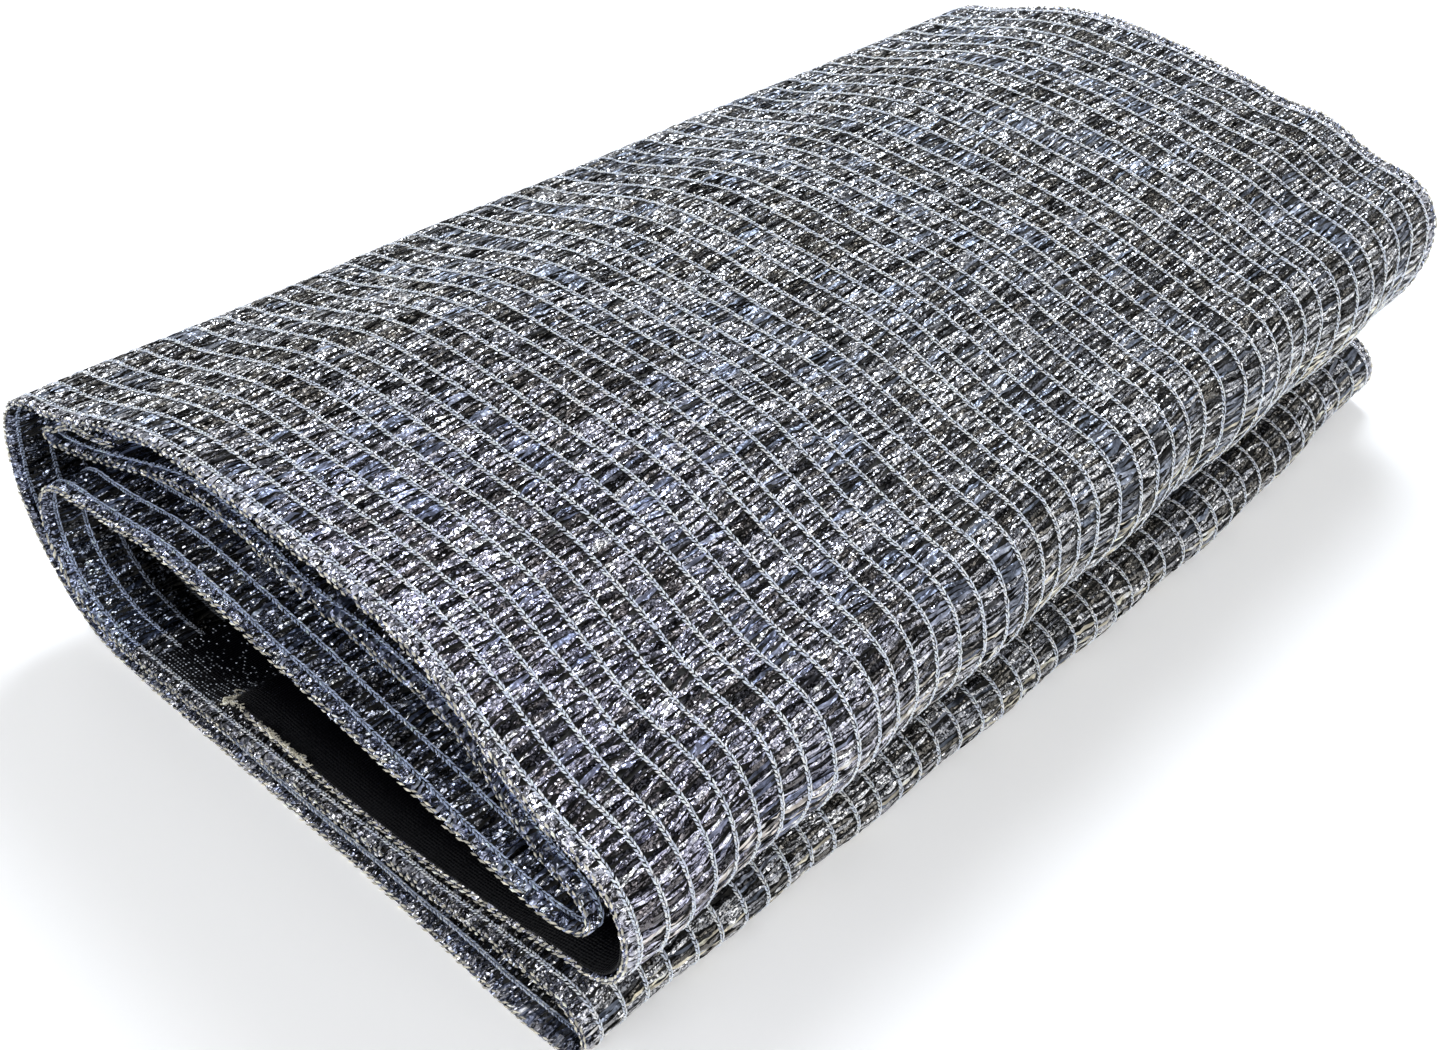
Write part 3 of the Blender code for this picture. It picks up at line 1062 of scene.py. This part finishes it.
Part = namedtuple("Part", "name start end outer")
base_from, base_to = REGION["base"]
lower_from = REGION["lower"][0]
PARTS = [
    Part("flap", 0.0, REGION["upper right"][0], False),
    Part("right_fold", *REGION["upper right"], True),
    Part("top", *REGION["top"], True),
    Part("left_fold", *REGION["left"], True),
    Part("base", base_from, base_to - 12, False),
    Part("low_right_fold", base_to - 12, lower_from + 14, True),
    Part("lower", lower_from + 14, REGION["inner left"][0], False),
    Part("inner_left", *REGION["inner left"], False),
    Part("middle", REGION["middle"][0], REGION["nose"][0], False),
    Part("upper", REGION["nose"][0], cloth.length, False),
]

# Tints of the strips on inner faces, which look bluer than those outside: painted light and
# shade, with BLUE lighter and bluer, DIM_BLUE bluer and darker, and SHADED much darker on the
# hidden face.
BLUE = (1.10, 1.17, 1.38)
DIM_BLUE = (0.82, 0.91, 1.10)
SHADED = (0.42, 0.46, 0.56)
PAINTED_INNER_TINTS = {"inner_left": DIM_BLUE, "middle": BLUE, "upper": BLUE}
DEPTH_SHADED_PARTS = ("inner_left", "lower", "flap")
pieces = []
for part in PARTS:
    rows = rows_between(part.start, part.end)
    tint = PAINTED_INNER_TINTS.get(part.name, (1, 1, 1))
    if part.outer:
        pieces.append(strips("strips_" + part.name, rows, ALL_BAYS, STATIONS))
        pieces.append(ribs("ribs_" + part.name, part.start, part.end, ALL_RIBS, full=False))
    else:
        depth_shaded = part.name in DEPTH_SHADED_PARTS
        pieces.append(strips("strips_" + part.name, rows, end_bays, STATIONS,
                             tint=tint, depth_shaded=depth_shaded))
        # Painted shade: darker threads on the inner faces.
        thread = SHADED_INNER_THREAD if part.name in PAINTED_INNER_TINTS else THREAD
        pieces.append(ribs("ribs_" + part.name, part.start, part.end, end_ribs, full=True,
                           colour=thread, depth_shaded=depth_shaded))
        # Painted shade: deep strips of the parts shaded by depth are darkened to FADE_TO.
        deep_shade_tint = np.array(tint) * (FADE_TO if depth_shaded else 1.0)
        pieces.append(flat_strips("deep_" + part.name, rows, deep_bays, deep_shade_tint))
hidden_bays = np.concatenate([ALL_BAYS[:HIDDEN_BAYS], ALL_BAYS[-HIDDEN_BAYS:]])
hidden_ribs = np.concatenate([ALL_RIBS[:HIDDEN_BAYS], ALL_RIBS[-HIDDEN_BAYS:]])
# The hidden face's strips and ribs are darkened as painted shade.
pieces.append(strips("strips_hidden", rows_between(0, cloth.length), hidden_bays,
                     HIDDEN_STATIONS, flip=-1, tint=SHADED, depth_shaded=True))
pieces.append(ribs("ribs_hidden", 0, cloth.length, hidden_ribs, full=False, flip=-1,
                   colour=SHADED_HIDDEN_THREAD, depth_shaded=True))
pieces.append(edging("edging_near", at_far_end=False))
pieces.append(edging("edging_far", at_far_end=True))
pieces.append(frayed_corner())
# A near-black sheet of painted shade under all the strips.
gap_shade = make_gap_shade_sheet()
knit_band = band_sheet()
stitches = knit_stitches()
for piece in pieces + [gap_shade]:
    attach(piece, "root")
for piece in (knit_band, stitches):
    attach(piece, "root")
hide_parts("shade_cloth")
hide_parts("black_band")

# Floor, lights, surroundings and camera.
FLOOR_SIZE = 30.0
bpy.ops.mesh.primitive_plane_add(size=FLOOR_SIZE, location=(0, 0, 0))
floor = bpy.context.object
floor.name = "studio_floor"
floor.data.materials.append(floor_material())


Light = namedtuple("Light", "name place target size power colour")
LIGHTS = [
    Light("key", (-0.7, 1.1, 1.7), (0, 0, 0.05), (0.9, 0.9), 36, (0.87, 0.93, 1.0)),
    Light("fill", (1.3, -0.7, 1.2), (0, 0, 0.05), (0.7, 0.7), 4, (1, 1, 1)),
    Light("front", (0.1, -1.5, 0.55), (0, -0.2, 0.07), (0.8, 0.5), 6, (0.88, 0.92, 1.0)),
]


def area_light(name, place, target, size, power, colour):
    """A soft rectangular light at a place, turned to a target, in metres and watts."""
    data = bpy.data.lights.new(name, "AREA")
    data.shape = "RECTANGLE"
    data.size, data.size_y = size
    data.energy = power
    data.color = colour
    lamp = bpy.data.objects.new(name, data)
    lamp.location = place
    aim = Vector(target) - Vector(place)
    lamp.rotation_euler = aim.to_track_quat("-Z", "Y").to_euler()
    bpy.context.scene.collection.objects.link(lamp)


for light in LIGHTS:
    area_light(*light)

# The soft boxes: how far from a box's middle each colour of their soft edges lies.
WORLD_STRENGTH = 2.1
WORLD_CELLS = 2.6
BOX_LIGHT = (1.0, 0.985, 0.94)
WORLD_STEPS = (
    (0.305, BOX_LIGHT),
    (0.365, (0.42, 0.44, 0.50)),
    (0.45, (0.085, 0.095, 0.115)),
    (0.55, (0.02, 0.02, 0.018)),
)
BETWEEN_BOXES = (0.009, 0.0085, 0.007)


def studio_world():
    """Soft boxes all round, with dark between them, so that foil glitters from every side."""
    world = bpy.data.worlds.new("studio")
    world.use_nodes = True
    nodes, links = world.node_tree.nodes, world.node_tree.links
    place = nodes.new("ShaderNodeTexCoord")
    cells = nodes.new("ShaderNodeTexVoronoi")
    cells.inputs["Scale"].default_value = WORLD_CELLS
    links.new(place.outputs["Generated"], cells.inputs["Vector"])
    boxes = nodes.new("ShaderNodeValToRGB")
    ramp = boxes.color_ramp
    ramp.elements[0].position = 0.0
    ramp.elements[0].color = (*BOX_LIGHT, 1)
    ramp.elements[1].position = 0.66
    ramp.elements[1].color = (*BETWEEN_BOXES, 1)
    for position, colour in WORLD_STEPS:
        ramp.elements.new(position).color = (*colour, 1)
    links.new(cells.outputs["Distance"], boxes.inputs["Fac"])
    back = nodes["Background"]
    links.new(boxes.outputs["Color"], back.inputs["Color"])
    back.inputs["Strength"].default_value = WORLD_STRENGTH
    plain = nodes.new("ShaderNodeBackground")
    plain.inputs["Color"].default_value = (0.9, 0.9, 0.9, 1)
    ray = nodes.new("ShaderNodeLightPath")
    both = nodes.new("ShaderNodeMixShader")
    links.new(ray.outputs["Is Camera Ray"], both.inputs["Fac"])
    links.new(back.outputs["Background"], both.inputs[1])
    links.new(plain.outputs["Background"], both.inputs[2])
    links.new(both.outputs["Shader"], nodes["World Output"].inputs["Surface"])
    bpy.context.scene.world = world


studio_world()
bpy.context.scene.view_settings.view_transform = "Standard"

camera_data = bpy.data.cameras.new("photo_camera")
camera_data.lens = CAMERA_LENS
camera_data.sensor_width = 36.0
camera = bpy.data.objects.new("photo_camera", camera_data)
camera.location = [(a - b) * MM for a, b in zip(CAMERA_AT, CENTRE)]
camera.rotation_euler = (pi / 2 - CAMERA_PITCH, 0, CAMERA_YAW)
bpy.context.scene.collection.objects.link(camera)
bpy.context.scene.camera = camera
